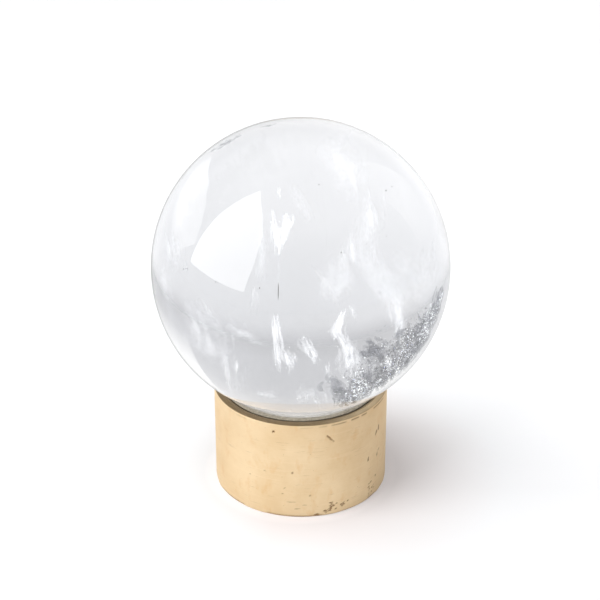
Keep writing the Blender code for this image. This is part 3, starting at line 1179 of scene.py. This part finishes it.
def make_card(name, corners, brightness, fades=(), through=False):
    """A glowing flat panel that lights the scene and shows in reflections, but not to the camera.

    Each fade is (axis, place where the glow is gone, place where it is full), in metres. A panel
    also shows through the ball if through is set.
    """
    recipe = Recipe(name)
    position = recipe.add("NewGeometry").outputs["Position"]
    split = recipe.add("SeparateXYZ", {"Vector": position})
    share = 1.0
    for axis, gone, full in fades:
        share = recipe.math("MULTIPLY", recipe.spread(split.outputs[axis], gone, full), share)
    glow = recipe.add("Emission", {"Color": WHITE, "Strength": brightness})
    surface = recipe.finish(recipe.mix_shader(share, recipe.see_through(), glow))
    obj = add_stage(name, corners, [tuple(range(len(corners)))], surface)
    obj.visible_camera = False
    obj.visible_transmission = through
    return obj


def wall_panel(outline):
    """Corners in space of a window outline."""
    return [BALL_CENTRE + Vector((-1.0, away, up)) * WINDOW_DISTANCE for away, up in outline]


def sky_panel(corners):
    """Corners in space of a reflector."""
    panel = []
    for azimuth, elevation in corners:
        turn, rise = math.radians(azimuth), math.radians(elevation)
        flat = WINDOW_DISTANCE * math.cos(rise)
        offset = (flat * math.sin(turn), flat * math.cos(turn), WINDOW_DISTANCE * math.sin(rise))
        panel.append(BALL_CENTRE + Vector(offset))
    return panel


def rising_fade(gone, full):
    """A glow that grows upwards between two heights above the ball, in window distances."""
    return ("Z", *(BALL_CENTRE.z + height * WINDOW_DISTANCE for height in (gone, full)))


def make_lights():
    """Soft windows in the wall at the left, and white reflectors behind."""
    make_card("window_near", wall_panel(WINDOW_NEAR), 4.0)
    window_behind = make_card("window_behind", wall_panel(WINDOW_BEHIND), 1.6)
    window_behind.visible_glossy = False
    away_fade = ("Y", 2.6 * WINDOW_DISTANCE, 1.3 * WINDOW_DISTANCE)
    fades = (rising_fade(-0.06, 0.14), away_fade)
    make_card("window_far", wall_panel(WINDOW_FAR), 2.1, fades)
    right = sky_panel(REFLECTOR_RIGHT)
    make_card("reflector_right", right, 1.06, (rising_fade(0.04, 0.32),), True)
    left = sky_panel(REFLECTOR_LEFT)
    reflector_left = make_card("reflector_left", left, 1.1, (rising_fade(0.26, 0.45),), True)
    reflector_left.visible_glossy = False


def make_camera():
    """The viewer in front of the object, looking down at it."""
    data = bpy.data.cameras.new("camera")
    data.lens = CAMERA_LENS
    data.sensor_width = CAMERA_SENSOR
    data.clip_start = CAMERA_NEAR_LIMIT
    camera = bpy.data.objects.new("camera", data)
    camera.location = VIEW_PLACE
    camera.rotation_euler = (CAMERA_AIM - VIEW_PLACE).to_track_quat("-Z", "Y").to_euler()
    bpy.context.scene.collection.objects.link(camera)
    bpy.context.scene.camera = camera


def set_light_paths():
    """Room for light to pass the many thin flaws, with no noisy caustics."""
    scene = bpy.context.scene
    scene.view_settings.view_transform = "Standard"
    scene.cycles.transparent_max_bounces = 96
    scene.cycles.max_bounces = 16
    scene.cycles.transmission_bounces = 16
    scene.cycles.caustics_reflective = False
    scene.cycles.caustics_refractive = False


def main():
    """Builds the object's pieces and the studio round them."""
    make_block()
    seat_felt = felt_material("seat_felt", *SEAT_WOOL)
    base_felt = felt_material("base_felt", *BASE_WOOL)
    make_seat_felt(seat_felt)
    make_base_felt(base_felt)
    make_seat_fibres(seat_felt)
    make_sphere(crystal_material())
    # The white mists glow a little: painted light.
    bright = mist_material("bright_mist", 0.21, MIST_WHITE, 0.25)
    faint = mist_material("faint_mist", 0.055, MIST_WHITE, 0.12)
    # Grey puffs of painted shade for the crack band and the dark strokes at the outline.
    painted_shade = mist_material("painted_shade_puffs", 0.34, PAINTED_SHADE_GREY)
    glint = glint_material()
    make_veils("bright_veils", BRIGHT_VEILS, bright, 31, 2.0)
    make_veils("faint_veils", FAINT_VEILS, faint, 32)
    make_needle(bright)
    make_crack_shade_puffs(painted_shade)
    make_veils("grey_veils", GREY_VEILS, painted_shade, 33)
    # Crack flakes in painted shade.
    make_cracks("crack_shades", CRACK_SHADES, 0.20 * MM, shade_material(), 11, (-0.42, -0.15))
    # Crack flakes with painted glints.
    make_cracks("crack_glints", CRACK_GLINTS, 0.14 * MM, glint, 14, (-0.52, -0.28))
    make_veil_sparks(glint)
    make_grains(mineral_material())
    make_floor()
    make_world()
    make_lights()
    make_camera()
    set_light_paths()


main()
